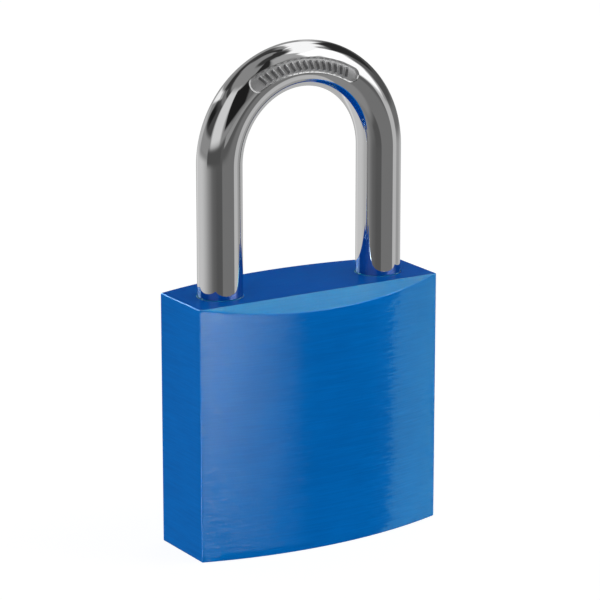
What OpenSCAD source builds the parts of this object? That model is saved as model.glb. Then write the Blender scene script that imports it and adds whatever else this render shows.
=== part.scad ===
// Padlock: a solid metal body with bowed faces, a round-bar shackle locked by two steel balls,
// and a five-pin key cylinder that turns the cam between the balls.
// It stands closed, with the cylinder turned to open.

/* [Body] */
// Width of the body between its two narrow sides
body_w = 40; // [39:0.5:44]
// Height of the body
body_h = 37.6; // [37:0.2:42]
// Thickness of the body at its two narrow sides
edge_t = 11.4; // [10:0.2:13]
// How far the front and the back bow out at the middle
face_bulge = 3.2; // [2.8:0.1:4]
// How far the crescent bevel over the front falls at the middle
bevel_drop = 1.8; // [1:0.1:3]

/* [Shackle] */
// Diameter of the round bar
shackle_d = 6.6; // [6.4:0.1:6.8]
// Distance between the centre lines of the legs
leg_spacing = 26.8; // [26.6:0.1:27.2]
// Height of the straight legs above the body
leg_height = 19; // [12:1:60]
// How far the shackle rises to open
shackle_lift = 12.3; // [12:0.1:13]
// Depth of the stamped panel on the bend
stamp_depth = 0.25; // [0.1:0.05:0.4]
// Number of plain raised ribs in the stamped panel
stamp_ribs = 15; // [7:1:17]

/* [Locking balls] */
// Radius of the two locking balls
ball_r = 3; // [2.9:0.05:3.05]
// How far a locked ball stands into its leg
ball_bite = 1.3; // [1:0.05:1.4]
// How far a ball draws back to let its leg go
ball_travel = 1.45; // [1.4:0.01:1.5]

/* [Key cylinder] */
// Radius of the plug that the key turns
plug_r = 6; // [5.9:0.05:6.1]
// Number of pin stacks
pins = 5; // [4:1:5]
// Distance between pin stacks
pin_pitch = 3.5; // [3.2:0.1:3.6]
// Radius of the pins
pin_r = 1.4; // [1.2:0.05:1.45]

/* [Hidden] */

$fn = 96;
eps = 0.5;                                  // how far a cutter runs past the face it opens
running_gap = 0.06;                         // radial clearance of what turns or slides

bar_r = shackle_d / 2;
leg_x = leg_spacing / 2;
leg_hole_r = bar_r + 0.1;
bow_r = (pow(body_w / 2, 2) + pow(face_bulge, 2)) / (2 * face_bulge);
bend_z = body_h + leg_height;               // where the legs run into the bend

ball_z = body_h - 7;
ball_bore_r = ball_r + 0.05;
ball_locked_x = leg_x - bar_r + ball_bite - ball_r;
ball_open_x = ball_locked_x - ball_travel;
notch_r = ball_r + 0.08;

toe_end_z = ball_z - 4.3;
toe_hole_z = toe_end_z - 0.4;
stop_pin_z = ball_z - 6;
stop_pin_r = 1.25;
stop_pin_reach = 1.2;                       // how far the stop pin stands into the heel's hole
neck_r = bar_r - ball_bite - 0.1;
neck_top_z = stop_pin_z + stop_pin_r + 0.3;
foot_top_z = stop_pin_z - stop_pin_r - shackle_lift - 0.05;
foot_h = 3;
foot_z = foot_top_z - foot_h;
heel_hole_z = 2.5;

plug_bore_r = plug_r + running_gap;
plug_z = 0.4;
plug_top_z = 24.4;
plug_bore_top_z = body_h - 3.2;
groove_z = 20.8;
groove_h = 1.2;
groove_in_r = plug_r - 1;
groove_out_r = plug_r + 0.7;
keyway_top_z = 20;
tongue_w = 3;
tongue_h = 1.5;
tongue_top_z = plug_top_z + 0.1;
open_turn = 90;                             // the plug's turn from locked to open, in degrees

cam_high_r = ball_locked_x - ball_r - 0.12;
cam_low_r = ball_open_x - ball_r - 0.12;
cam_shaft_r = 3.4;
cam_z = ball_z - 3.2;
cam_top_z = ball_z + 3.2;

chamber_r = pin_r + 0.05;
first_pin_z = 4.2;
key_pin_end = 5.8;
key_pin_lengths = [3.4, 4.4, 3.0, 4.0, 3.7];
driver_x = plug_r + 0.1;
driver_len = 3.2;
cap_x = body_w / 2 - 2.7;
pin_spring_gap = 0.05;

stamp_centre = [-1.2, -1.8];                // the panel's own arc, from the bend's centre
stamp_r = 15.5;
stamp_from = 59;                            // where its round ends stand on that arc, in degrees
stamp_to = 119.5;
stamp_w = 2.2;
rib_w = 0.48;

blue = "RoyalBlue";
chrome = "Silver";
steel = "LightSlateGray";
brass = "Goldenrod";

function pin_z(i) = first_pin_z + (i - 1) * pin_pitch;

// ---- body -----------------------------------------------------------------------------------

module body_outline() {
    intersection() {
        square([body_w, edge_t + 2 * face_bulge], center = true);
        for_both_faces() circle(r = bow_r, $fn = 360);
    }
}

// The two bow circles' shared area: each circle's far side makes one bowed face.
module for_both_faces() {
    reach = bow_r - edge_t / 2 - face_bulge;
    intersection() {
        translate([0, reach]) children();
        translate([0, -reach]) children();
    }
}

// Everything above the slanting bevel, from the straight front edge of the top outwards.
module bevel_cutter() {
    beyond = 1.6;
    front_y = -edge_t / 2;
    rotate([90, 0, 90])
        linear_extrude(height = body_w + 2 * eps, center = true)
            polygon([[front_y, body_h],
                     [front_y - beyond * face_bulge, body_h - beyond * bevel_drop],
                     [front_y - beyond * face_bulge, body_h + 1],
                     [front_y, body_h + 1]]);
}

module bore_up(x, r, from_z, to_z) translate([x, 0, from_z]) cylinder(r = r, h = to_z - from_z);

module bore_along_x(z, r, from_x, to_x)
    translate([from_x, 0, z]) rotate([0, 90, 0]) cylinder(r = r, h = to_x - from_x, $fn = 48);

module body() {
    color(blue) difference() {
        linear_extrude(height = body_h) body_outline();
        bevel_cutter();
        bore_up(-leg_x, leg_hole_r, heel_hole_z, body_h + eps);
        bore_up(leg_x, leg_hole_r, toe_hole_z, body_h + eps);
        bore_up(0, plug_bore_r, -eps, plug_bore_top_z);
        bore_up(0, groove_out_r, groove_z, groove_z + groove_h);
        bore_along_x(ball_z, ball_bore_r, -leg_x, body_w / 2 + eps);
        bore_along_x(stop_pin_z, stop_pin_r, -leg_x, 0);
        for (i = [1:pins]) bore_along_x(pin_z(i), chamber_r, 0, body_w / 2 + eps);
    }
}

// ---- shackle --------------------------------------------------------------------------------

module bend(r) {
    translate([0, 0, bend_z]) rotate([90, 0, 0])
        rotate_extrude(angle = 180, $fn = 180) translate([leg_x, 0]) circle(r = r);
}

// Outline of the stamped panel, seen from the front, with round ends.
module stamp_outline() {
    far = 2 * stamp_r;
    past = 0.6;                             // degrees past the ends' centres, so that no edge is tangent
    right = stamp_from - past;
    left = stamp_to + past;
    intersection() {
        difference() {
            circle(r = stamp_r + stamp_w / 2, $fn = 180);
            circle(r = stamp_r - stamp_w / 2, $fn = 180);
        }
        polygon([[0, 0], far * [cos(right), sin(right)], [0, far], far * [cos(left), sin(left)]]);
    }
    for (a = [stamp_from, stamp_to]) rotate(a) translate([stamp_r, 0]) circle(r = stamp_w / 2, $fn = 32);
}

// Plain slanting ribs, evenly spaced along the panel.
module stamp_rib_outlines() {
    step = (stamp_to - stamp_from) / (stamp_ribs + 1);
    for (k = [1:stamp_ribs])
        rotate(stamp_from + k * step) translate([stamp_r, 0]) rotate(20)
            square([stamp_w - 0.8, rib_w], center = true);
}

module stamp_cutter() {
    difference() {
        translate([stamp_centre[0], -bar_r / 2, bend_z + stamp_centre[1]]) rotate([90, 0, 0])
            linear_extrude(height = bar_r) difference() {
                stamp_outline();
                stamp_rib_outlines();
            }
        bend(bar_r - stamp_depth);
    }
}

module heel_leg() {
    lead = 0.8;
    translate([-leg_x, 0, 0]) rotate_extrude()
        polygon([[0, foot_z], [bar_r - lead, foot_z], [bar_r, foot_z + lead], [bar_r, foot_top_z],
                 [neck_r, foot_top_z], [neck_r, neck_top_z - 0.3], [bar_r, neck_top_z + 0.3],
                 [bar_r, bend_z], [0, bend_z]]);
}

module toe_leg() {
    lead = 0.8;
    translate([leg_x, 0, 0]) rotate_extrude()
        polygon([[0, toe_end_z], [bar_r - lead, toe_end_z], [bar_r, toe_end_z + lead],
                 [bar_r, bend_z], [0, bend_z]]);
}

module shackle() {
    color(chrome) difference() {
        union() {
            heel_leg();
            toe_leg();
            bend(bar_r);
        }
        for (side = [-1, 1]) translate([side * ball_locked_x, 0, ball_z]) sphere(r = notch_r, $fn = 64);
        stamp_cutter();
    }
}

module shackle_stop_pin() {
    color(steel) bore_along_x(stop_pin_z, stop_pin_r, -leg_x + leg_hole_r - stop_pin_reach, -plug_bore_r - 0.2);
}

// ---- springs --------------------------------------------------------------------------------

// A round wire wound up the Z axis: turns coils of radius coil_r between heights low and high.
module coil_spring(coil_r, wire_r, turns, low, high, steps = 20, sides = 8) {
    last = turns * steps;
    rise = high - low - 2 * wire_r;
    points = [for (k = [0:last]) let (a = 360 * k / steps, z = low + wire_r + rise * k / last)
              for (s = [0:sides - 1]) let (b = 360 * s / sides, r = coil_r + wire_r * cos(b))
              [r * cos(a), r * sin(a), z + wire_r * sin(b)]];
    sleeve = [for (k = [0:last - 1]) for (s = [0:sides - 1])
              let (n = (s + 1) % sides, at = k * sides, up = (k + 1) * sides)
              [at + s, up + s, up + n, at + n]];
    ends = [[for (s = [0:sides - 1]) s], [for (s = [sides - 1:-1:0]) last * sides + s]];
    polyhedron(points = points, faces = concat(sleeve, ends), convexity = 10);
}

module shackle_spring() {
    color(steel) translate([-leg_x, 0, 0])
        coil_spring(coil_r = 2.5, wire_r = 0.35, turns = 5, low = heel_hole_z + 0.05, high = foot_z - 0.05);
}

module pin_spring(i) {
    color(steel) translate([0, 0, pin_z(i)]) rotate([0, 90, 0])
        coil_spring(coil_r = pin_r - 0.3, wire_r = 0.17, turns = 9, low = driver_x + driver_len + pin_spring_gap,
                    high = cap_x - pin_spring_gap, steps = 12, sides = 6);
}

// ---- key cylinder ---------------------------------------------------------------------------

// Turns what is drawn locked, with its pins towards +X, to where it stands when open.
module as_open() rotate([0, 0, open_turn]) children();

// The keyway's outline: a blade slot along X with a rib standing in from each side.
module keyway_outline() {
    polygon([[-4.4, -0.9], [-2.7, -0.9], [-2.1, -0.3], [-0.9, -0.3], [-0.3, -1.0], [1.3, -1.0],
             [1.8, -0.55], [3.4, -0.55], [3.4, 1.1], [1.9, 1.1], [1.4, 0.5], [0.2, 0.5],
             [-0.4, 1.0], [-1.8, 1.0], [-2.4, 0.5], [-4.4, 0.5]]);
}

module plug() {
    mouth = 0.5;
    color(brass) as_open() difference() {
        translate([0, 0, plug_z]) cylinder(r = plug_r, h = plug_top_z - plug_z);
        translate([0, 0, plug_z - eps]) linear_extrude(height = keyway_top_z - plug_z + eps) keyway_outline();
        translate([0, 0, plug_z + mouth]) mirror([0, 0, 1])
            cylinder(r1 = 3.9, r2 = 4.9, h = mouth + 0.01);
        for (i = [1:pins]) bore_along_x(pin_z(i), chamber_r, 0.6, plug_r + eps);
        difference() {
            bore_up(0, plug_r + eps, groove_z, groove_z + groove_h);
            bore_up(0, groove_in_r, groove_z - eps, groove_z + groove_h + eps);
        }
        translate([0, 0, plug_top_z]) cube([2 * plug_r + eps, tongue_w + 0.1, 2 * tongue_h], center = true);
    }
}

module plug_snap_ring() {
    ring_gap = 0.1;
    color(steel) translate([0, 0, groove_z + ring_gap]) linear_extrude(height = groove_h - 2 * ring_gap)
        difference() {
            circle(r = groove_out_r - ring_gap / 2);
            circle(r = groove_in_r + ring_gap);
            translate([-groove_out_r, 0]) square([groove_out_r, 5], center = true);
        }
}

// The cam's radius at an angle: it climbs from low to high over a quarter turn, stays high, then falls.
function cam_r(a) = a >= 270 ? cam_low_r + (cam_high_r - cam_low_r) * (a - 270) / 90
                  : a >= 180 ? cam_r(a - 180)
                  : a >= 90 ? cam_low_r + (cam_high_r - cam_low_r) * (a - 90) / 90
                  : a <= 30 ? cam_high_r
                  : a <= 60 ? cam_high_r + (cam_low_r - cam_high_r) * (a - 30) / 30
                  : cam_low_r;

module cam() {
    color(steel) as_open() {
        translate([0, 0, cam_z]) linear_extrude(height = cam_top_z - cam_z)
            polygon([for (a = [0:5:355]) cam_r(a) * [cos(a), sin(a)]]);
        bore_up(0, cam_shaft_r, tongue_top_z, cam_z);
        intersection() {
            translate([0, 0, plug_top_z]) cube([2 * plug_r, tongue_w, 2 * tongue_h], center = true);
            bore_up(0, plug_r - 0.4, plug_top_z - tongue_h + 0.1, tongue_top_z);
        }
    }
}

module key_pin(i) {
    tip = 0.8;
    start = key_pin_end - key_pin_lengths[i - 1];
    color(brass) as_open() translate([start, 0, pin_z(i)]) rotate([0, 90, 0]) {
        cylinder(r1 = 0.6, r2 = pin_r, h = tip, $fn = 32);
        translate([0, 0, tip]) cylinder(r = pin_r, h = key_pin_end - start - tip, $fn = 32);
    }
}

module driver_pin(i) {
    color(brass) bore_along_x(pin_z(i), pin_r, driver_x, driver_x + driver_len);
}

module pin_chamber_caps() {
    color(chrome) for (i = [1:pins]) bore_along_x(pin_z(i), chamber_r, cap_x, body_w / 2);
}

// ---- locking balls --------------------------------------------------------------------------

module locking_ball(side) {
    color(steel) translate([side * ball_open_x, 0, ball_z]) sphere(r = ball_r, $fn = 64);
}

module ball_bore_plug() {
    color(chrome) bore_along_x(ball_z, ball_bore_r, leg_x + leg_hole_r + 0.3, body_w / 2);
}

body();
shackle();
shackle_spring();
shackle_stop_pin();
plug();
plug_snap_ring();
cam();
locking_ball(-1);  // ball_heel
locking_ball(1);  // ball_toe
ball_bore_plug();
pin_chamber_caps();
for (i = [1:pins]) key_pin(i);
for (i = [1:pins]) driver_pin(i);
for (i = [1:pins]) pin_spring(i);
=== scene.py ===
"""The looks of a 40 mm padlock: brushed blue anodised body, chromed shackle, and the works inside."""
import math

import bmesh
import bpy
import numpy as np
from mathutils import Matrix, Vector


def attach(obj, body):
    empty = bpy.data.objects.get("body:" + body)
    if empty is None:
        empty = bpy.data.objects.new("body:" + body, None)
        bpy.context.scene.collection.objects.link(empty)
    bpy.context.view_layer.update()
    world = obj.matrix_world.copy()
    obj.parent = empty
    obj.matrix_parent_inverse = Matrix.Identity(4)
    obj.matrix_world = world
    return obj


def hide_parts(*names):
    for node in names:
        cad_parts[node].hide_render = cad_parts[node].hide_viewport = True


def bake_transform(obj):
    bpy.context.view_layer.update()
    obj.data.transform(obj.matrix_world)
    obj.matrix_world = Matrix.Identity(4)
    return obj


MM = 0.001

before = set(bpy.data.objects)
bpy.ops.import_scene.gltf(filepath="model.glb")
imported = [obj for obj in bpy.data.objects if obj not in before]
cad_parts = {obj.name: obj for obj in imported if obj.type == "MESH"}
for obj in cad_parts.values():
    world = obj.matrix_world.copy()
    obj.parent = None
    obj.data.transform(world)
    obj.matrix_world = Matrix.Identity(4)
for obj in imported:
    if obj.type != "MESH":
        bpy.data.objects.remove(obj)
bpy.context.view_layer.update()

scene = bpy.context.scene
scene.view_settings.view_transform = "Standard"


# ---- camera ----------------------------------------------------------------------------------

CAMERA_AZIMUTH = math.radians(-31.55)       # 0 looks along +Y
CAMERA_ELEVATION = math.radians(15.2)
CAMERA_DISTANCE = 470.4 * MM
CAMERA_TARGET = Vector((0, 0, 35 * MM))     # about half way up the lock
CAMERA_LENS = 194.2                         # on a 36 mm sensor


def make_camera():
    """A long lens at the set distance, looking at the target."""
    data = bpy.data.cameras.new("camera")
    data.sensor_width = 36
    data.lens = CAMERA_LENS
    data.clip_start, data.clip_end = 0.01, 10
    camera = bpy.data.objects.new("camera", data)
    scene.collection.objects.link(camera)
    back = Vector((
        math.sin(CAMERA_AZIMUTH) * math.cos(CAMERA_ELEVATION),
        -math.cos(CAMERA_AZIMUTH) * math.cos(CAMERA_ELEVATION),
        math.sin(CAMERA_ELEVATION),
    ))
    camera.location = CAMERA_TARGET + back * CAMERA_DISTANCE
    camera.rotation_euler = (-back).to_track_quat("-Z", "Y").to_euler()
    scene.camera = camera


# ---- node helpers ----------------------------------------------------------------------------

class Nodes:
    """Short calls that add and link shader nodes in one tree."""

    def __init__(self, tree):
        self.tree = tree

    def add(self, kind, **settings):
        node = self.tree.nodes.new(kind)
        for name, value in settings.items():
            setattr(node, name, value)
        return node

    def link(self, source, socket):
        if hasattr(source, "is_output"):
            self.tree.links.new(source, socket)
        else:
            socket.default_value = source

    def math(self, operation, *values, clamp=False):
        node = self.add("ShaderNodeMath", operation=operation, use_clamp=clamp)
        for value, socket in zip(values, node.inputs):
            self.link(value, socket)
        return node.outputs[0]

    def vector(self, x, y, z):
        node = self.add("ShaderNodeCombineXYZ")
        for value, socket in zip((x, y, z), node.inputs):
            self.link(value, socket)
        return node.outputs[0]

    def split(self, vector):
        node = self.add("ShaderNodeSeparateXYZ")
        self.link(vector, node.inputs[0])
        return node.outputs

    def remap(self, value, low, high, to_low=0.0, to_high=1.0):
        """Turns low to high into to_low to to_high, easing in and out."""
        node = self.add("ShaderNodeMapRange", interpolation_type="SMOOTHSTEP")
        for source, socket in zip((value, low, high, to_low, to_high), node.inputs):
            self.link(source, socket)
        return node.outputs[0]

    def mix(self, factor, a, b):
        """A number between a and b."""
        node = self.add("ShaderNodeMix", data_type="FLOAT")
        for source, socket in zip((factor, a, b), (node.inputs[0], node.inputs[2], node.inputs[3])):
            self.link(source, socket)
        return node.outputs[0]

    def mix_vector(self, factor, a, b):
        node = self.add("ShaderNodeMix", data_type="VECTOR")
        for source, socket in zip((factor, a, b), (node.inputs[0], node.inputs[4], node.inputs[5])):
            self.link(source, socket)
        return node.outputs[1]

    def mix_colour(self, factor, a, b):
        node = self.add("ShaderNodeMix", data_type="RGBA")
        for source, socket in zip((factor, a, b), (node.inputs[0], node.inputs[6], node.inputs[7])):
            self.link(source, socket)
        return node.outputs[2]

    def noise(self, vector, scale, detail=2.0, roughness=0.5):
        node = self.add("ShaderNodeTexNoise", noise_dimensions="3D")
        self.link(vector, node.inputs["Vector"])
        node.inputs["Scale"].default_value = scale
        node.inputs["Detail"].default_value = detail
        node.inputs["Roughness"].default_value = roughness
        return node.outputs[0]

    def bump(self, height, strength, distance):
        node = self.add("ShaderNodeBump")
        node.inputs["Strength"].default_value = strength
        node.inputs["Distance"].default_value = distance
        self.link(height, node.inputs["Height"])
        return node.outputs[0]


# ---- studio ----------------------------------------------------------------------------------

# What the metal mirrors: soft panels on a sphere round the object, painted one over the other.
# Each is (azimuth, elevation, half width, half height, slant, edge softness, brightness), in degrees.
# Azimuth 0 is in front of the object and 90 on its right; the slant is degrees of azimuth per degree up.
# Upper and lower edges are never softer than MOST_SOFT_UP.
MOST_SOFT_UP = 5.0
STUDIO_PANELS = {
    "zenith": (0, 92, 360, 13, 0.0, 3, 0.05),
    "zenith_right": (95, 84, 60, 10, 0.0, 3, 0.04),
    "floor_left": (-154, -50, 60, 46, 0.0, 42, 0.72),
    "floor_left_edge": (-184, -50, 14, 46, 0.0, 10, 1.0),
    "floor_left_dark": (-31, -24, 16, 13, 0.0, 8, 0.112),
    "floor_front": (15, -50, 31, 42, 0.0, 2, 0.22),
    "floor_front_low": (5, -64, 48, 20, 0.0, 12, 0.31),
    "right_card": (60.5, -36, 13.5, 37, 0.0, 2, 0.62),
    "right_card_side": (86, -36, 13, 37, 0.0, 5, 0.42),
    "floor_right": (140, -45, 42, 45, 0.0, 8, 0.59),
    "back_low": (-180, 3, 34, 8, 0.0, 6, 0.62),
    "back_left_low": (-122, 5, 29, 8.5, 0.0, 4, 0.34),
    "back_left_band": (-125, 48, 33, 3.5, 0.0, 2, 0.06),
    "back_left_high": (-160, 41, 26, 7, 0.0, 3, 0.04),
    "back_left_shade": (-119, 26, 27, 14, 0.0, 3, 0.08),
    "back_left_flag": (-129, 24, 13, 8, 0.8, 5, 0.016),
    "back_left_streak": (-164, 21, 6.5, 12.5, 1.55, 2.5, 1.15),
    "back_left_middle": (-139, 36, 8, 3, 1.6, 3, 0.55),
    "back_left_tail": (-113, 41.5, 19, 2.5, 0.0, 2, 0.2),
    "left_softbox": (-67, 29, 22, 24, -0.2, 5, 0.82),
    "high_flag": (-12, 67, 15, 18, 0.0, 3, 0.025),
    "high_flag_corner": (-32, 54, 8, 7, 0.6, 4, 0.04),
    "front_middle": (6, 31, 27, 23, -0.3, 4, 0.18),
    "front_grey": (27, 61, 20, 13.5, 0.0, 3, 0.46),
    "front_fade": (56, 26, 28, 24, 0.0, 18, 0.50),
    "front_flag": (-27, 31, 17.5, 20, -0.6, 2.0, 0.016),
    "horizon_left": (-57, -4, 37, 6, 0.0, 3, 0.10),
    "horizon_front": (5, -3, 32, 6, 0.0, 3, 0.125),
    "window": (6, 0.5, 23, 3.2, 0.0, 0.8, 0.36),
    "right_softbox": (60, 43, 23, 11.5, 0.2, 2.5, 1.5),
    "right_softbox_middle": (61, 26, 18, 7.5, 0.25, 3, 1.5),
    "right_softbox_low": (56.5, 11, 11, 9.5, 0.6, 3, 1.4),
    "right_shade": (100, 19, 25, 11, 0.0, 5, 0.14),
    "right_flag": (112, 29, 22, 16, -0.5, 4, 0.03),
    "right_horizon": (108, 6, 35, 8, 0.0, 4, 0.10),
    "right_horizon_low": (106, -4, 32, 5, 0.0, 3, 0.20),
    "back_right": (166, 14, 16, 15, 0.0, 6, 0.38),
    "back_right_high": (172, 44, 14, 13, 0.0, 5, 0.06),
    "back_right_edge": (156, 63, 9, 12, -1.75, 3, 0.045),
    "overhead": (80, 62, 34, 9.5, 0.0, 2.5, 1.3),
    "overhead_turn": (120, 57, 20, 11, -0.3, 3, 1.3),
    "overhead_down": (139, 44, 13, 13, -0.5, 3, 1.3),
    "overhead_tip": (145.5, 15, 2.6, 14, -0.15, 1.5, 0.6),
}


def panel_group():
    """A node group that paints one soft panel over the brightness it is given."""
    tree = bpy.data.node_groups.new("soft_panel", "ShaderNodeTree")
    names = ("Below", "Azimuth", "Elevation", "At azimuth", "At elevation",
             "Half width", "Half height", "Slant", "Softness", "Brightness")
    for name in names:
        tree.interface.new_socket(name, in_out="INPUT", socket_type="NodeSocketFloat")
    tree.interface.new_socket("Result", in_out="OUTPUT", socket_type="NodeSocketFloat")
    nodes = Nodes(tree)
    given = nodes.add("NodeGroupInput").outputs
    below, azimuth, elevation, at_azimuth, at_elevation = given[:5]
    half_w, half_h, slant, soft, bright = given[5:10]
    up = nodes.math("SUBTRACT", elevation, at_elevation)
    along = nodes.math("WRAP", nodes.math("SUBTRACT", azimuth, at_azimuth), 180.0, -180.0)
    along = nodes.math("SUBTRACT", along, nodes.math("MULTIPLY", up, slant))
    soft_up = nodes.math("MINIMUM", soft, MOST_SOFT_UP)
    masks = []
    for offset, half, fade in ((along, half_w, soft), (up, half_h, soft_up)):
        distance = nodes.math("ABSOLUTE", offset)
        outer = nodes.math("ADD", half, fade)
        inner = nodes.math("SUBTRACT", half, fade)
        masks.append(nodes.remap(distance, outer, inner))
    mask = nodes.math("MULTIPLY", *masks)
    out = nodes.add("NodeGroupOutput")
    nodes.link(nodes.mix(mask, below, bright), out.inputs[0])
    return tree


def make_world():
    """The studio that the metal mirrors. The camera itself sees an even pale grey."""
    world = bpy.data.worlds.new("studio")
    world.use_nodes = True
    scene.world = world
    tree = world.node_tree
    tree.nodes.clear()
    nodes = Nodes(tree)
    x, y, z = nodes.split(nodes.add("ShaderNodeTexCoord").outputs["Generated"])
    azimuth = nodes.math("DEGREES", nodes.math("ARCTAN2", x, nodes.math("MULTIPLY", y, -1.0)))
    elevation = nodes.math("DEGREES", nodes.math("ARCSINE", z))
    # the floor darkens towards the horizon, and the ceiling is an even grey
    floor = nodes.remap(elevation, -8.0, -60.0, 0.14, 0.26)
    ceiling = nodes.remap(elevation, -2.0, 6.0)
    bright = nodes.mix(ceiling, floor, 0.32)
    group = panel_group()
    for panel in STUDIO_PANELS.values():
        node = nodes.add("ShaderNodeGroup", node_tree=group)
        for value, socket in zip((bright, azimuth, elevation) + panel, node.inputs):
            nodes.link(value, socket)
        bright = node.outputs[0]
    seen = nodes.mix(nodes.add("ShaderNodeLightPath").outputs["Is Camera Ray"], bright, 1.0)
    background = nodes.add("ShaderNodeBackground")
    nodes.link(seen, background.inputs["Strength"])
    out = nodes.add("ShaderNodeOutputWorld")
    nodes.link(background.outputs[0], out.inputs[0])


def make_floor():
    """A pale floor that the camera sees nearly white. Reflections see the world's own floor instead."""
    mesh = bpy.data.meshes.new("floor")
    size = 3.0
    corners = [(-size, -size, 0), (size, -size, 0), (size, size, 0), (-size, size, 0)]
    mesh.from_pydata(corners, [], [(0, 1, 2, 3)])
    floor = bpy.data.objects.new("floor", mesh)
    scene.collection.objects.link(floor)
    material = bpy.data.materials.new("floor")
    material.use_nodes = True
    tree = material.node_tree
    tree.nodes.clear()
    nodes = Nodes(tree)
    white = nodes.add("ShaderNodeEmission")
    white.inputs["Strength"].default_value = 0.93
    matt = nodes.add("ShaderNodeBsdfDiffuse")
    matt.inputs["Color"].default_value = (0.25, 0.25, 0.25, 1)
    both = nodes.add("ShaderNodeAddShader")
    nodes.link(white.outputs[0], both.inputs[0])
    nodes.link(matt.outputs[0], both.inputs[1])
    out = nodes.add("ShaderNodeOutputMaterial")
    nodes.link(both.outputs[0], out.inputs[0])
    mesh.materials.append(material)
    floor.visible_glossy = False
    floor.visible_diffuse = False


# Lamps that shine on the anodised metal only, seen from the middle of the body, in degrees:
# (from azimuth, to azimuth, from elevation, to elevation), then the share of each that its edges fade over
# (left, right, bottom, top), the radiance and the colour.
LAMP_CENTRE = Vector((0, 0, 18 * MM))
LAMP_DISTANCE = 0.6
LAMPS = {
    "left_strip": ((-13, 22.5, -24, 1), (0.10, 0.85, 0.50, 0.05), 35, (1.0, 0.91, 0.64)),
    "right_strip": ((53.5, 100, -36, 2), (0.02, 0.02, 0.05, 0.05), 10, (0.46, 1.0, 0.66)),
    "over_right": ((70, 152, 32, 80), (0.05, 0.05, 0.05, 0.05), 13, (0.74, 1.0, 0.36)),
    "edge_left": ((-110, -50, -35, 0), (0.2, 0.2, 0.2, 0.2), 26, (0.8, 0.95, 1.0)),
    "edge_back_left": ((-185, -140, 14, 50), (0.2, 0.2, 0.2, 0.2), 24, (0.6, 0.95, 1.0)),
    "edge_front": ((18, 62, 16, 52), (0.2, 0.2, 0.2, 0.2), 22, (0.9, 0.95, 1.0)),
}
# Soft suns that the metal only scatters: (azimuth, elevation, strength).
SUNS = {
    "front_sun": (-10, 8, 1.32),
    "left_sun": (-90, 20, 1.4),
    "right_sun": (90, 20, 1.0),
    "back_sun": (180, 20, 1.0),
    "top_sun": (0, 89, 0.55),
    "under_sun": (0, -89, 0.8),
}


def direction(azimuth, elevation):
    """The unit vector from the object towards an azimuth and elevation in degrees."""
    a, e = math.radians(azimuth), math.radians(elevation)
    return Vector((math.sin(a) * math.cos(e), -math.cos(a) * math.cos(e), math.sin(e)))


def fade_lamp(data, fades):
    """Dims an area lamp towards its edges, over these shares of it: left, right, bottom, top."""
    data.use_nodes = True
    nodes = Nodes(data.node_tree)
    u, v, _ = nodes.split(nodes.add("ShaderNodeNewGeometry").outputs["Parametric"])
    from_edges = (u, nodes.math("SUBTRACT", 1.0, u), v, nodes.math("SUBTRACT", 1.0, v))
    parts = [nodes.math("DIVIDE", value, fade, clamp=True) for value, fade in zip(from_edges, fades)]
    across = nodes.math("MULTIPLY", *parts[:2])
    upright = nodes.math("MULTIPLY", *parts[2:])
    strength = nodes.math("MULTIPLY", across, upright)
    nodes.link(strength, data.node_tree.nodes["Emission"].inputs["Strength"])


def make_lights(lit, lock):
    """Lamps and suns that shine on the lit pieces only. The lock shades the suns, and nothing the lamps."""
    receivers = bpy.data.collections.new("anodised")
    blockers = bpy.data.collections.new("lock")
    see_through = bpy.data.collections.new("everything_else")
    for piece in lit:
        receivers.objects.link(piece)
    for piece in lock:
        blockers.objects.link(piece)
    meshes = [piece for piece in bpy.data.objects if piece.type == "MESH"]
    for piece in meshes:
        see_through.objects.link(piece)
    for entry in see_through.collection_objects:
        entry.light_linking.link_state = "EXCLUDE"

    def add(name, data, azimuth, elevation):
        lamp = bpy.data.objects.new(name, data)
        scene.collection.objects.link(lamp)
        way = direction(azimuth, elevation)
        lamp.location = LAMP_CENTRE + way * LAMP_DISTANCE
        lamp.rotation_euler = way.to_track_quat("Z", "Y").to_euler()
        lamp.light_linking.receiver_collection = receivers
        lamp.light_linking.blocker_collection = blockers if data.type == "SUN" else see_through
        lamp.visible_camera = False
        return lamp

    for name, ((left, right, bottom, top), fades, radiance, colour) in LAMPS.items():
        data = bpy.data.lights.new(name, "AREA")
        data.shape = "RECTANGLE"
        data.size = 2 * LAMP_DISTANCE * math.tan(math.radians(right - left) / 2)
        data.size_y = 2 * LAMP_DISTANCE * math.tan(math.radians(top - bottom) / 2)
        data.energy = radiance * math.pi * data.size * data.size_y
        data.color = colour
        fade_lamp(data, fades)
        add(name, data, (left + right) / 2, (bottom + top) / 2).visible_diffuse = False
    for name, (azimuth, elevation, strength) in SUNS.items():
        data = bpy.data.lights.new(name, "SUN")
        data.angle = math.radians(90)
        data.energy = strength
        add(name, data, azimuth, elevation).visible_glossy = False


# ---- materials -------------------------------------------------------------------------------

def new_material(name):
    material = bpy.data.materials.new(name)
    material.use_nodes = True
    nodes = Nodes(material.node_tree)
    shader = material.node_tree.nodes["Principled BSDF"]
    return material, nodes, shader


def millimetres(nodes):
    """The surface point in the object's own space, in millimetres, as three numbers."""
    position = nodes.add("ShaderNodeTexCoord").outputs["Object"]
    scaled = nodes.add("ShaderNodeVectorMath", operation="SCALE")
    nodes.link(position, scaled.inputs[0])
    scaled.inputs["Scale"].default_value = 1 / MM
    return nodes.split(scaled.outputs[0])


def faces_up(nodes, least):
    """1 on faces whose normal's upright part is more than least, up or down."""
    z = nodes.split(nodes.add("ShaderNodeNewGeometry").outputs["True Normal"])[2]
    return nodes.math("GREATER_THAN", nodes.math("ABSOLUTE", z), least)


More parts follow.
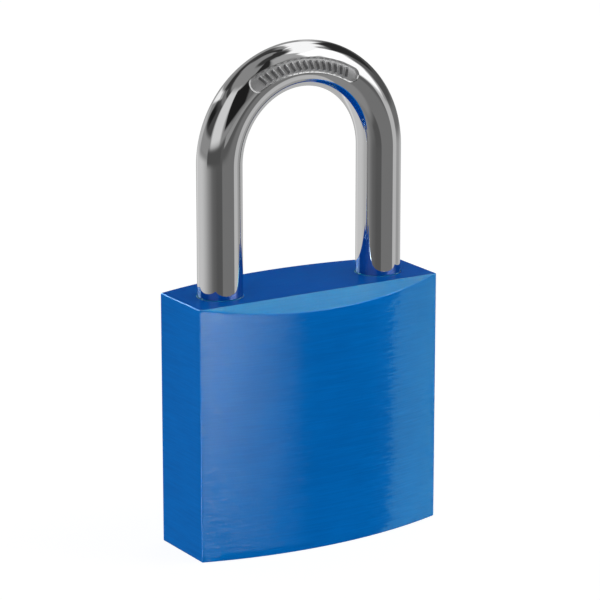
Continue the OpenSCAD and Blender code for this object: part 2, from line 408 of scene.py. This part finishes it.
def brushed_vector(nodes, x, y, z, up, along, across):
    """Stretches the grain level along each face: fine in z on upright faces, fine in y on level ones."""
    long_x = nodes.math("MULTIPLY", x, along)
    long_y = nodes.math("MULTIPLY", y, along)
    long_z = nodes.math("MULTIPLY", z, along)
    fine_y = nodes.math("MULTIPLY", y, across)
    fine_z = nodes.math("MULTIPLY", z, across)
    return nodes.mix_vector(up, nodes.vector(long_x, long_y, fine_z), nodes.vector(long_x, fine_y, long_z))


def level_tangent(nodes, up):
    """A tangent along the brush marks, which run level on every face."""
    round_z = nodes.add("ShaderNodeTangent", direction_type="RADIAL", axis="Z").outputs[0]
    round_y = nodes.add("ShaderNodeTangent", direction_type="RADIAL", axis="Y").outputs[0]
    return nodes.mix_vector(up, round_z, round_y)


def lean_normal(nodes, leans):
    """The surface normal, leaning along each direction by a noise about one half, times an amount."""
    total = nodes.add("ShaderNodeNewGeometry").outputs["Normal"]
    for way, noise, amount in leans:
        lean = nodes.math("MULTIPLY", nodes.math("SUBTRACT", noise, 0.5), amount)
        scaled = nodes.add("ShaderNodeVectorMath", operation="SCALE")
        nodes.link(way, scaled.inputs[0])
        nodes.link(lean, scaled.inputs["Scale"])
        added = nodes.add("ShaderNodeVectorMath", operation="ADD")
        nodes.link(total, added.inputs[0])
        nodes.link(scaled.outputs[0], added.inputs[1])
        total = added.outputs[0]
    unit = nodes.add("ShaderNodeVectorMath", operation="NORMALIZE")
    nodes.link(total, unit.inputs[0])
    return unit.outputs[0]


def anodised_blue():
    """Dyed and brushed aluminium: a deep blue that scatters, under a thin clear skin, with a darker blue
    painted on its level faces as shade.
    """
    material, nodes, shader = new_material("anodised_blue")
    x, y, z = millimetres(nodes)
    up = faces_up(nodes, 0.4)
    top = faces_up(nodes, 0.95)
    streak = nodes.noise(brushed_vector(nodes, x, y, z, up, 0.16, 4.6), 1.0, 3.0, 0.6)
    hair = nodes.noise(brushed_vector(nodes, x, y, z, up, 0.35, 8.0), 1.0, 2.0, 0.5)
    cloud = nodes.noise(nodes.vector(x, y, z), 0.09, 2.0, 0.5)
    tone = nodes.math("ADD", nodes.math("MULTIPLY", streak, 0.6), nodes.math("MULTIPLY", cloud, 0.4))
    tone = nodes.remap(tone, 0.3, 0.7)
    side = nodes.mix_colour(tone, (0.0, 0.094, 0.355, 1), (0.0, 0.119, 0.430, 1))
    # painted shade: faces that look straight up or down get a darker blue than the upright faces
    shaded_top_blue = nodes.mix_colour(tone, (0.0, 0.038, 0.25, 1), (0.0, 0.050, 0.295, 1))
    nodes.link(nodes.mix_colour(top, side, shaded_top_blue), shader.inputs["Base Color"])
    shader.inputs["Metallic"].default_value = 0.04
    rough = nodes.remap(nodes.math("ADD", hair, nodes.math("MULTIPLY", streak, 0.5)), 0.5, 1.0, 0.32, 0.40)
    nodes.link(rough, shader.inputs["Roughness"])
    shader.inputs["Anisotropic"].default_value = 0.9
    shader.inputs["Anisotropic Rotation"].default_value = 0.25
    shader.inputs["Specular IOR Level"].default_value = 0.0
    shader.inputs["Specular Tint"].default_value = (0.2, 0.6, 1.0, 1)
    shader.inputs["Coat Weight"].default_value = 0.1
    shader.inputs["Coat Roughness"].default_value = 0.08
    shader.inputs["Coat IOR"].default_value = 1.5
    tangent = level_tangent(nodes, up)
    upward = nodes.mix_vector(up, (0, 0, 1), (0, 1, 0))
    wander = nodes.noise(brushed_vector(nodes, x, y, z, up, 0.36, 4.2), 1.0, 3.0, 0.65)
    ripple = nodes.noise(brushed_vector(nodes, x, y, z, up, 0.4, 6.0), 1.0, 2.0, 0.5)
    normal = lean_normal(nodes, ((tangent, wander, 0.16), (upward, ripple, 0.14)))
    nodes.link(tangent, shader.inputs["Tangent"])
    nodes.link(normal, shader.inputs["Normal"])
    nodes.link(normal, shader.inputs["Coat Normal"])
    return material


def chrome():
    """Polished plating, left matt and pale in the stamped panel, with a dark reflection painted on its ribs.
    """
    material, nodes, shader = new_material("chrome")
    x, y, z = millimetres(nodes)
    cloud = nodes.noise(nodes.vector(x, y, z), 0.35, 3.0, 0.6)
    grit = nodes.noise(nodes.vector(x, y, z), 9.0, 3.0, 0.6)
    sunk = nodes.remap(nodes.add("ShaderNodeAttribute", attribute_name="stamped").outputs["Fac"], 0.25, 0.9)
    plate = nodes.mix_colour(cloud, (0.87, 0.87, 0.875, 1), (0.90, 0.90, 0.90, 1))
    matt = nodes.mix_colour(grit, (0.82, 0.82, 0.83, 1), (0.98, 0.98, 0.98, 1))
    rib = nodes.add("ShaderNodeAttribute", attribute_name="rib").outputs["Fac"]
    # painted reflection: the ribs get a much darker plate, standing in for the dark they mirror
    plate = nodes.mix_colour(rib, plate, (0.42, 0.42, 0.43, 1))
    nodes.link(nodes.mix_colour(sunk, plate, matt), shader.inputs["Base Color"])
    shader.inputs["Metallic"].default_value = 1.0
    polish = nodes.remap(cloud, 0.3, 0.7, 0.02, 0.045)
    worn = nodes.mix(rib, polish, 0.22)
    nodes.link(nodes.mix(sunk, worn, 0.46), shader.inputs["Roughness"])
    normal = nodes.bump(nodes.math("MULTIPLY", grit, sunk), 0.6, 0.00003)
    nodes.link(normal, shader.inputs["Normal"])
    return material


def steel(name, colour, low, high):
    """Plain steel, brass or nickel plate, its roughness and tone clouded a little."""
    material, nodes, shader = new_material(name)
    x, y, z = millimetres(nodes)
    cloud = nodes.noise(nodes.vector(x, y, z), 1.2, 4.0, 0.6)
    dark = tuple(c * 0.88 for c in colour) + (1,)
    nodes.link(nodes.mix_colour(cloud, dark, colour + (1,)), shader.inputs["Base Color"])
    shader.inputs["Metallic"].default_value = 1.0
    nodes.link(nodes.remap(cloud, 0.3, 0.7, low, high), shader.inputs["Roughness"])
    return material


def shaded_bore():
    """Machined walls of the bores with their tool marks, painted a darker blue than the skin as shade inside
    the holes.
    """
    material, nodes, shader = new_material("shaded_bore")
    x, y, z = millimetres(nodes)
    half_x, half_y = nodes.math("MULTIPLY", x, 0.5), nodes.math("MULTIPLY", y, 0.5)
    tool = nodes.noise(nodes.vector(half_x, half_y, z), 4.0, 2.0, 0.6)
    # painted shade: the walls are a much darker blue than the outer skin; the tool-mark grain is real
    bore_shade = nodes.mix_colour(tool, (0.02, 0.05, 0.14, 1), (0.04, 0.09, 0.22, 1))
    nodes.link(bore_shade, shader.inputs["Base Color"])
    shader.inputs["Metallic"].default_value = 0.6
    nodes.link(nodes.remap(tool, 0.3, 0.7, 0.4, 0.55), shader.inputs["Roughness"])
    return material


def dress(node, material):
    """Gives a CAD node one material."""
    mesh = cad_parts[node].data
    mesh.materials.clear()
    mesh.materials.append(material)


# ---- geometry --------------------------------------------------------------------------------

# Millimetres, as in the CAD source. The heel leg is at -LEG_X, and the toe leg at LEG_X.
BAR_R = 3.3
LEG_X = 13.4
BEND_Z = 56.6                               # where the legs run into the bend
TOE_END_Z = 26.3
FOOT_Z, FOOT_TOP_Z = 8.0, 11.0
NECK_R, NECK_TOP_Z = 1.9, 26.15
END_LEAD = 0.8                              # the lead-in on the foot and on the toe's end
BALL_X, BALL_Z, NOTCH_R = 8.4, 30.6, 3.08
NOTCH_REACH = 3.3                           # finer rings this far above and below a ball

# The stamped panel is an arc about its own centre, seen from the front. Angles are in degrees.
STAMP_CENTRE = (-1.2, BEND_Z - 1.8)
STAMP_R = 15.5
STAMP_FROM, STAMP_TO = 59.0, 119.5
STAMP_W = 2.2
STAMP_DEPTH = 0.25
STAMP_RAMP = 0.13                           # the width of its sloping edges
STAMP_RINGS_FROM, STAMP_RINGS_TO = 133, 52  # the stretch of the bend with finer rings
RIBS = 15
RIB_LENGTH, RIB_W, RIB_TILT = 1.4, 0.48, 20.0

# The body's outline. EDGE_Y is half its narrow side, and BULGE is how far each broad face bows out of that.
BODY_X, BODY_H = 20.0, 37.6
EDGE_Y, BULGE = 5.7, 3.2
BOW_R = (BODY_X ** 2 + BULGE ** 2) / (2 * BULGE)
BOW_Y = BOW_R - EDGE_Y - BULGE              # from the middle of the body to a bow's centre
BEVEL_SLOPE = 1.8 / 3.2
EDGE_R = 0.22                               # the broken edges that catch the light
BOW_POINTS, CORNER_POINTS, SIDE_POINTS = 97, 6, 10

# The body's bores.
HOLE_R = BAR_R + 0.1
HEEL_HOLE_Z, TOE_HOLE_Z = 2.5, 25.9
PLUG_BORE_R, PLUG_BORE_TOP_Z = 6.06, 34.4
GROOVE_R, GROOVE_Z, GROOVE_TOP_Z = 6.7, 20.8, 22.0
BALL_BORE_R = 3.05
STOP_PIN_R, STOP_PIN_Z = 1.25, 24.6
CHAMBER_R = 1.45
PINS, FIRST_PIN_Z, PIN_PITCH = 5, 4.2, 3.5

# The springs' fixed ends.
HEEL_SPRING_Z = HEEL_HOLE_Z + 0.05
DRIVER_SPRING_X = 17.25


def pin_z(n):
    """The height of pin n, counted from 1."""
    return FIRST_PIN_Z + PIN_PITCH * (n - 1)


def new_object(name, vertices, faces):
    """A smooth mesh object from points in millimetres."""
    mesh = bpy.data.meshes.new(name)
    mesh.from_pydata([tuple(c * MM for c in v) for v in vertices], [], faces)
    mesh.validate()
    mesh.polygons.foreach_set("use_smooth", [True] * len(mesh.polygons))
    mesh.update()
    piece = bpy.data.objects.new(name, mesh)
    scene.collection.objects.link(piece)
    return piece


def steps(low, high, size):
    """Even steps from low up to, but not including, high, none longer than size."""
    count = max(1, math.ceil(abs(high - low) / size - 1e-6))
    return list(np.linspace(low, high, count, endpoint=False))


def smoothstep(value):
    value = np.clip(value, 0, 1)
    return value * value * (3 - 2 * value)


def stamp_depth(x, z):
    """The stamped panel's depth and its ribs' height at a point seen from the front, each 0 to 1."""
    px, pz = x - STAMP_CENTRE[0], z - STAMP_CENTRE[1]
    angle = np.degrees(np.arctan2(pz, px))
    nearest = np.radians(np.clip(angle, STAMP_FROM, STAMP_TO))
    outside = np.hypot(px - STAMP_R * np.cos(nearest), pz - STAMP_R * np.sin(nearest)) - STAMP_W / 2
    panel = smoothstep(-outside / STAMP_RAMP)
    depth = panel
    pitch = (STAMP_TO - STAMP_FROM) / (RIBS + 1)
    for k in range(1, RIBS + 1):
        at = math.radians(STAMP_FROM + k * pitch)
        turn = at + math.radians(RIB_TILT)
        dx, dz = px - STAMP_R * math.cos(at), pz - STAMP_R * math.sin(at)
        along = np.abs(dx * math.cos(turn) + dz * math.sin(turn)) - RIB_LENGTH / 2
        across = np.abs(-dx * math.sin(turn) + dz * math.cos(turn)) - RIB_W / 2
        gap = np.maximum(along, across)
        depth = np.minimum(depth, smoothstep(gap / STAMP_RAMP + 0.35))
    return depth, panel - depth


def shackle_rings():
    """Centre (x, z), outward direction (x, z) and radius of each ring, from heel foot to toe end."""
    rings = []

    def leg(x, z, r):
        rings.append(((x, z), (math.copysign(1, x), 0.0), r))

    lead, soft = END_LEAD, 0.12
    heel = -LEG_X
    foot = [(FOOT_Z, 0.02), (FOOT_Z, BAR_R - lead - soft), (FOOT_Z + 0.03, BAR_R - lead),
            (FOOT_Z + lead - 0.05, BAR_R - 0.05), (FOOT_Z + lead + 0.1, BAR_R),
            (FOOT_TOP_Z - soft, BAR_R), (FOOT_TOP_Z - 0.03, BAR_R - 0.03), (FOOT_TOP_Z, BAR_R - soft),
            (FOOT_TOP_Z, NECK_R + soft), (FOOT_TOP_Z + 0.04, NECK_R + 0.03), (FOOT_TOP_Z + soft, NECK_R)]
    for z, r in foot:
        leg(heel, z, r)
    for z in steps(FOOT_TOP_Z + 1, NECK_TOP_Z - 0.45, 2.0):
        leg(heel, z, NECK_R)
    shoulder = [(NECK_TOP_Z - 0.42, NECK_R), (NECK_TOP_Z - 0.28, NECK_R + 0.06),
                (NECK_TOP_Z + 0.26, BAR_R - 0.08), (NECK_TOP_Z + 0.32, BAR_R - 0.02),
                (NECK_TOP_Z + 0.42, BAR_R)]
    for z, r in shoulder:
        leg(heel, z, r)
    above_ball = BALL_Z + NOTCH_REACH
    for z in steps(BALL_Z - NOTCH_REACH, above_ball, 0.17) + steps(above_ball, BEND_Z, 1.2):
        leg(heel, z, BAR_R)
    stamped = steps(STAMP_RINGS_FROM, STAMP_RINGS_TO, 0.29)
    for angle in steps(180, STAMP_RINGS_FROM, 1.6) + stamped + steps(STAMP_RINGS_TO, 0, 1.6) + [0]:
        c, s = math.cos(math.radians(angle)), math.sin(math.radians(angle))
        rings.append(((LEG_X * c, BEND_Z + LEG_X * s), (c, s), BAR_R))
    for z in steps(BEND_Z, above_ball, 1.2)[1:] + steps(above_ball, TOE_END_Z + lead + 0.12, 0.17):
        leg(LEG_X, z, BAR_R)
    toe = [(TOE_END_Z + lead + 0.1, BAR_R), (TOE_END_Z + lead - 0.05, BAR_R - 0.05),
           (TOE_END_Z + 0.03, BAR_R - lead), (TOE_END_Z, BAR_R - lead - soft), (TOE_END_Z, 0.02)]
    for z, r in toe:
        leg(LEG_X, z, r)
    return rings


def make_shackle():
    """The bar as one skin, with its stamped panel and ball notches pressed in."""
    # round the bar: 0 outwards, 90 to the front, 180 inwards, with finer steps over the stamped panel
    round_bar = steps(38, 118, 1.05) + steps(118, 145, 3) + steps(145, 215, 2) + steps(215, 398, 4.6)
    round_bar = np.radians(round_bar)
    rings = shackle_rings()
    centre = np.array([r[0] for r in rings])[:, None, :]
    outward = np.array([r[1] for r in rings])[:, None, :]
    radius = np.repeat(np.array([r[2] for r in rings])[:, None], len(round_bar), 1)
    cos, sin = np.cos(round_bar)[None, :], np.sin(round_bar)[None, :]

    # the notch for each ball: where a spoke of the bar meets the ball's sphere on its way out
    ball_x = np.sign(centre[..., 0]) * BALL_X
    from_ball = np.stack([centre[..., 0] - ball_x, centre[..., 1] - BALL_Z], -1)
    on_leg = centre[..., 1] < BEND_Z
    b = from_ball[..., 0] * outward[..., 0] * cos
    c = (from_ball ** 2).sum(-1) - NOTCH_R ** 2
    inside = b * b - c
    spoke = -b - np.sqrt(np.maximum(inside, 0))
    notched = on_leg & (inside > 0) & (spoke > 0)
    radius = np.where(notched, np.minimum(radius, spoke), radius)

    x = centre[..., 0] + radius * cos * outward[..., 0]
    z = centre[..., 1] + radius * cos * outward[..., 1]
    in_front = (sin > 0) & (centre[..., 1] > BEND_Z)
    depth, ribs = (np.where(in_front, part, 0) for part in stamp_depth(x, z))
    radius = radius - depth * STAMP_DEPTH
    x = centre[..., 0] + radius * cos * outward[..., 0]
    y = -radius * sin
    z = centre[..., 1] + radius * cos * outward[..., 1]

    count, sides = radius.shape
    vertices = np.stack([x, y, z], -1).reshape(-1, 3).tolist()
    faces = []
    for i in range(count - 1):
        for j in range(sides):
            k = (j + 1) % sides
            faces.append((i * sides + j, i * sides + k, (i + 1) * sides + k, (i + 1) * sides + j))
    faces.append(tuple(range(sides - 1, -1, -1)))
    faces.append(tuple((count - 1) * sides + j for j in range(sides)))
    piece = new_object("shackle_bar", vertices, faces)
    for name, part in (("stamped", depth), ("rib", ribs)):
        mask = piece.data.attributes.new(name, "FLOAT", "POINT")
        mask.data.foreach_set("value", part.reshape(-1).astype(np.float32))
    piece.data.set_sharp_from_angle(angle=math.radians(66))
    return piece


def spring_mesh(name, coil_r, wire_r, turns, length, place, round_steps=40, sides=12):
    """A compression spring along +Z from 0, its first and last turns closed, put in place by a matrix."""
    last = int(turns * round_steps)
    t = np.linspace(0, turns, last + 1)
    closed = 0.9                            # turns at each end that touch the next one
    # the closed turns climb by one wire, the open ones share the rest, with a soft change between
    climb = np.where(t < closed, 0.02 / closed, np.where(t > turns - closed, 0.02 / closed, 1.0))
    climb = np.convolve(np.pad(climb, 6, mode="edge"), np.ones(13) / 13, mode="valid")
    rise = np.concatenate([[0], np.cumsum((climb[1:] + climb[:-1]) / 2)])
    least = 2 * wire_r * 1.02
    span = length - 2 * wire_r
    z = wire_r + rise / rise[-1] * (span - 2 * least * closed)
    z = z + least * (np.clip(t, 0, closed) + np.clip(t - turns + closed, 0, closed))
    vertices, faces = [], []
    for k in range(last + 1):
        a = 2 * math.pi * t[k]
        # the wire's ends are ground to a blunt point
        r = wire_r * min(1.0, 0.55 + 0.15 * min(k, last - k))
        for s in range(sides):
            b = 2 * math.pi * s / sides
            out = coil_r + r * math.cos(b)
            vertices.append(place @ Vector((out * math.cos(a), out * math.sin(a), z[k] + r * math.sin(b))))
    for k in range(last):
        for s in range(sides):
            n = (s + 1) % sides
            faces.append((k * sides + s, (k + 1) * sides + s, (k + 1) * sides + n, k * sides + n))
    faces.append(tuple(range(sides)))
    faces.append(tuple(last * sides + s for s in range(sides - 1, -1, -1)))
    return new_object(name, vertices, faces)


def body_outline():
    """Points of the bowed outline with their outward normals, anticlockwise from the front left corner."""
    half = []
    # the centre of the back right corner's round, and where that round meets the bow
    corner = (BODY_X - EDGE_R, math.sqrt((BOW_R - EDGE_R) ** 2 - (BODY_X - EDGE_R) ** 2) - BOW_Y)
    tilt = math.atan2(corner[0], corner[1] + BOW_Y)
    for angle in np.linspace(-tilt, tilt, BOW_POINTS):
        n = (math.sin(angle), -math.cos(angle))
        half.append((BOW_R * n[0], BOW_Y + BOW_R * n[1], n[0], n[1]))
    for angle in np.linspace(tilt, math.pi / 2, CORNER_POINTS)[1:]:
        n = (math.sin(angle), -math.cos(angle))
        half.append((corner[0] + EDGE_R * n[0], -corner[1] + EDGE_R * n[1], n[0], n[1]))
    for y in np.linspace(-corner[1], corner[1], SIDE_POINTS)[1:-1]:
        half.append((BODY_X, y, 1.0, 0.0))
    for angle in np.linspace(math.pi / 2, math.pi - tilt, CORNER_POINTS)[:-1]:
        n = (math.sin(angle), -math.cos(angle))
        half.append((corner[0] + EDGE_R * n[0], corner[1] + EDGE_R * n[1], n[0], n[1]))
    return half + [(-x, -y, -nx, -ny) for x, y, nx, ny in half]


def body_column(x, y, nx, ny):
    """One upright line of points over an outline point, from the bottom face to the top one."""
    # the slanting bevel only cuts the front, by how far the bow stands out of the straight edge
    bulge = max(0.0, -EDGE_Y - y)
    inward = (-nx / abs(ny), -ny / abs(ny)) if bulge > 0.02 else (-nx, -ny)
    slope_turn = math.atan2(1, BEVEL_SLOPE)     # the slope's normal, measured up from level
    low = EDGE_R
    high = BODY_H - max(EDGE_R, BEVEL_SLOPE * bulge + EDGE_R * math.tan(slope_turn / 2))
    back = max(EDGE_R, bulge + EDGE_R * math.tan((math.pi / 2 - slope_turn) / 2))
    arcs = [(EDGE_R, low, a) for a in np.linspace(-math.pi / 2, 0, 5)]
    arcs += [(EDGE_R, low + (high - low) * t, 0.0) for t in (0.03, 0.2, 0.4, 0.6, 0.8, 0.97)]
    arcs += [(EDGE_R, high, a) for a in np.linspace(0, slope_turn, 5)]
    arcs += [(back, BODY_H - EDGE_R, a) for a in np.linspace(slope_turn, math.pi / 2, 3)]
    column = []
    for u, z, a in arcs:
        u -= EDGE_R * math.cos(a)
        column.append((x + inward[0] * u, y + inward[1] * u, z + EDGE_R * math.sin(a)))
    return column


def revolved(profile, place, sides=64):
    """A closed solid turned round Z from (radius, height) points that start and end on the axis."""
    vertices = [place @ Vector((0, 0, profile[0][1]))]
    rings = profile[1:-1]
    for r, z in rings:
        for j in range(sides):
            a = 2 * math.pi * j / sides
            vertices.append(place @ Vector((r * math.cos(a), r * math.sin(a), z)))
    vertices.append(place @ Vector((0, 0, profile[-1][1])))
    faces = []
    for j in range(sides):
        k = (j + 1) % sides
        faces.append((0, 1 + k, 1 + j))
        for i in range(len(rings) - 1):
            a, b = 1 + i * sides, 1 + (i + 1) * sides
            faces.append((a + j, a + k, b + k, b + j))
        last = 1 + (len(rings) - 1) * sides
        faces.append((last + j, last + k, len(vertices) - 1))
    return new_object("cutter", vertices, faces)


def bore(radius, low, mouth, place, lead=0.08, sides=64):
    """A cutter from low out past the mouth, where it leaves a small lead-in."""
    return revolved([(0, low), (radius, low), (radius, mouth - lead), (radius + lead, mouth),
                     (radius + lead, mouth + 1), (0, mouth + 1)], place, sides)


def body_cutters():
    """Solids for the leg holes, the plug's bore and ring groove, the ball bore, the stop pin and the pins."""
    at = Matrix.Translation
    along_x = Matrix.Rotation(math.pi / 2, 4, "Y")
    lead = 0.1
    plug_profile = [(0, -1), (PLUG_BORE_R + lead, -1), (PLUG_BORE_R + lead, 0), (PLUG_BORE_R, lead),
                    (PLUG_BORE_R, GROOVE_Z), (GROOVE_R, GROOVE_Z),
                    (GROOVE_R, GROOVE_TOP_Z), (PLUG_BORE_R, GROOVE_TOP_Z),
                    (PLUG_BORE_R, PLUG_BORE_TOP_Z), (0, PLUG_BORE_TOP_Z)]
    stop_pin_profile = [(0, -LEG_X), (STOP_PIN_R, -LEG_X), (STOP_PIN_R, 0), (0, 0)]
    cutters = [
        bore(HOLE_R, HEEL_HOLE_Z, BODY_H, at((-LEG_X, 0, 0)), lead, 96),
        bore(HOLE_R, TOE_HOLE_Z, BODY_H, at((LEG_X, 0, 0)), lead, 96),
        revolved(plug_profile, at((0, 0, 0)), 96),
        bore(BALL_BORE_R, -LEG_X, BODY_X, at((0, 0, BALL_Z)) @ along_x),
        revolved(stop_pin_profile, at((0, 0, STOP_PIN_Z)) @ along_x, 48),
    ]
    for n in range(1, PINS + 1):
        cutters.append(bore(CHAMBER_R, 0, BODY_X, at((0, 0, pin_z(n))) @ along_x, 0.06, 48))
    return cutters


def in_a_bore(x, y, z):
    """Whether a point of the cut block is under its outer skin, and so on the wall of a bore."""
    between_sides = abs(x) < BODY_X - 0.02
    between_ends = 0.01 < z < BODY_H - 0.01
    under_bows = BOW_R - math.hypot(x, abs(y) + BOW_Y) > 0.3
    under_bevel = z < BODY_H - BEVEL_SLOPE * max(0.0, -y - EDGE_Y) - 0.06
    return between_sides and between_ends and under_bows and under_bevel


def make_body():
    """The bowed block with its broken edges, slanting bevel and bores."""
    columns = [body_column(*point) for point in body_outline()]
    count, height = len(columns), len(columns[0])
    vertices = [p for column in columns for p in column]
    faces = [tuple(i * height for i in range(count - 1, -1, -1)),
             tuple(i * height + height - 1 for i in range(count))]
    for i in range(count):
        n = (i + 1) % count
        for k in range(height - 1):
            faces.append((i * height + k, n * height + k, n * height + k + 1, i * height + k + 1))
    piece = new_object("body_block", vertices, faces)
    tidy = bmesh.new()
    tidy.from_mesh(piece.data)
    bmesh.ops.remove_doubles(tidy, verts=tidy.verts, dist=0.0005 * MM)
    bmesh.ops.recalc_face_normals(tidy, faces=tidy.faces)
    tidy.to_mesh(piece.data)
    tidy.free()
    cutters = body_cutters()
    for cutter in cutters:
        cut = piece.modifiers.new("bore", "BOOLEAN")
        cut.operation = "DIFFERENCE"
        cut.solver = "EXACT"
        cut.object = cutter
    bpy.context.view_layer.update()
    mesh = bpy.data.meshes.new_from_object(piece.evaluated_get(bpy.context.evaluated_depsgraph_get()))
    piece.modifiers.clear()
    piece.data = mesh
    for cutter in cutters:
        bpy.data.objects.remove(cutter)
    mesh.polygons.foreach_set("use_smooth", [True] * len(mesh.polygons))
    mesh.set_sharp_from_angle(angle=math.radians(32))
    even_normals(piece)
    # the skin takes the body's first material, and the walls of the bores its second
    for face in mesh.polygons:
        face.material_index = int(in_a_bore(*(c / MM for c in face.center)))
    return piece


def even_normals(piece):
    """Large faces keep their own normals, so that only the narrow rounded edges turn."""
    weighted = piece.modifiers.new("even_normals", "WEIGHTED_NORMAL")
    weighted.mode = "FACE_AREA"
    weighted.weight = 100
    weighted.keep_sharp = True


def soften_edges(node, width):
    """Breaks a CAD node's sharp edges, so that they catch the light."""
    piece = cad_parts[node]
    weld = piece.modifiers.new("weld", "WELD")
    weld.merge_threshold = 0.002 * MM
    bevel = piece.modifiers.new("broken_edges", "BEVEL")
    bevel.width = width * MM
    bevel.segments = 2
    bevel.limit_method = "ANGLE"
    bevel.angle_limit = math.radians(30)
    even_normals(piece)


# ---- the scene -------------------------------------------------------------------------------

make_camera()
make_world()
make_floor()

blue = anodised_blue()
mirror = chrome()
brass = steel("brass", (0.78, 0.58, 0.26), 0.2, 0.32)
nickel = steel("nickel", (0.66, 0.64, 0.60), 0.2, 0.3)
bright_steel = steel("bright_steel", (0.62, 0.62, 0.63), 0.12, 0.2)
spring_steel = steel("spring_steel", (0.50, 0.51, 0.53), 0.2, 0.3)

shackle = make_shackle()
shackle.data.materials.append(mirror)
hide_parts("shackle")
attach(shackle, "shackle")

body = make_body()
body.data.materials.append(blue)
body.data.materials.append(shaded_bore())
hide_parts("body")
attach(body, "body")

heel_spring = spring_mesh("heel_spring", coil_r=2.5, wire_r=0.35, turns=5, length=5.4,
                          place=Matrix.Translation((-LEG_X, 0, HEEL_SPRING_Z)))
heel_spring.data.materials.append(spring_steel)
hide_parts("shackle_spring")
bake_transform(heel_spring)

for n in range(1, PINS + 1):
    z = pin_z(n)
    place = Matrix.Translation((DRIVER_SPRING_X, 0, z)) @ Matrix.Rotation(-math.pi / 2, 4, "Y")
    piece = spring_mesh(f"driver_spring_{n}", coil_r=1.1, wire_r=0.17, turns=9, length=7.9,
                        place=place, round_steps=24, sides=8)
    piece.data.materials.append(spring_steel)
    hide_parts(f"pin_spring_{n}")
    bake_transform(piece)

# the CAD nodes that no piece replaces: a material each, and broken edges except on the round balls
ANODISED_NODES = ("ball_bore_plug", "pin_chamber_caps")
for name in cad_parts:
    if name in ANODISED_NODES:
        dress(name, blue)
        soften_edges(name, 0.08)
    elif name == "plug":
        dress(name, nickel)
        soften_edges(name, 0.1)
    elif name == "plug_snap_ring":
        dress(name, spring_steel)
        soften_edges(name, 0.08)
    elif name.startswith(("key_pin", "driver_pin")):
        dress(name, brass)
        soften_edges(name, 0.15)
    elif "spring" not in name and name not in ("body", "shackle"):
        dress(name, bright_steel)
        if not name.startswith("ball"):
            soften_edges(name, 0.12)

make_lights(lit=[body] + [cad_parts[name] for name in ANODISED_NODES],
            lock=list(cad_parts.values()) + [body, shackle])
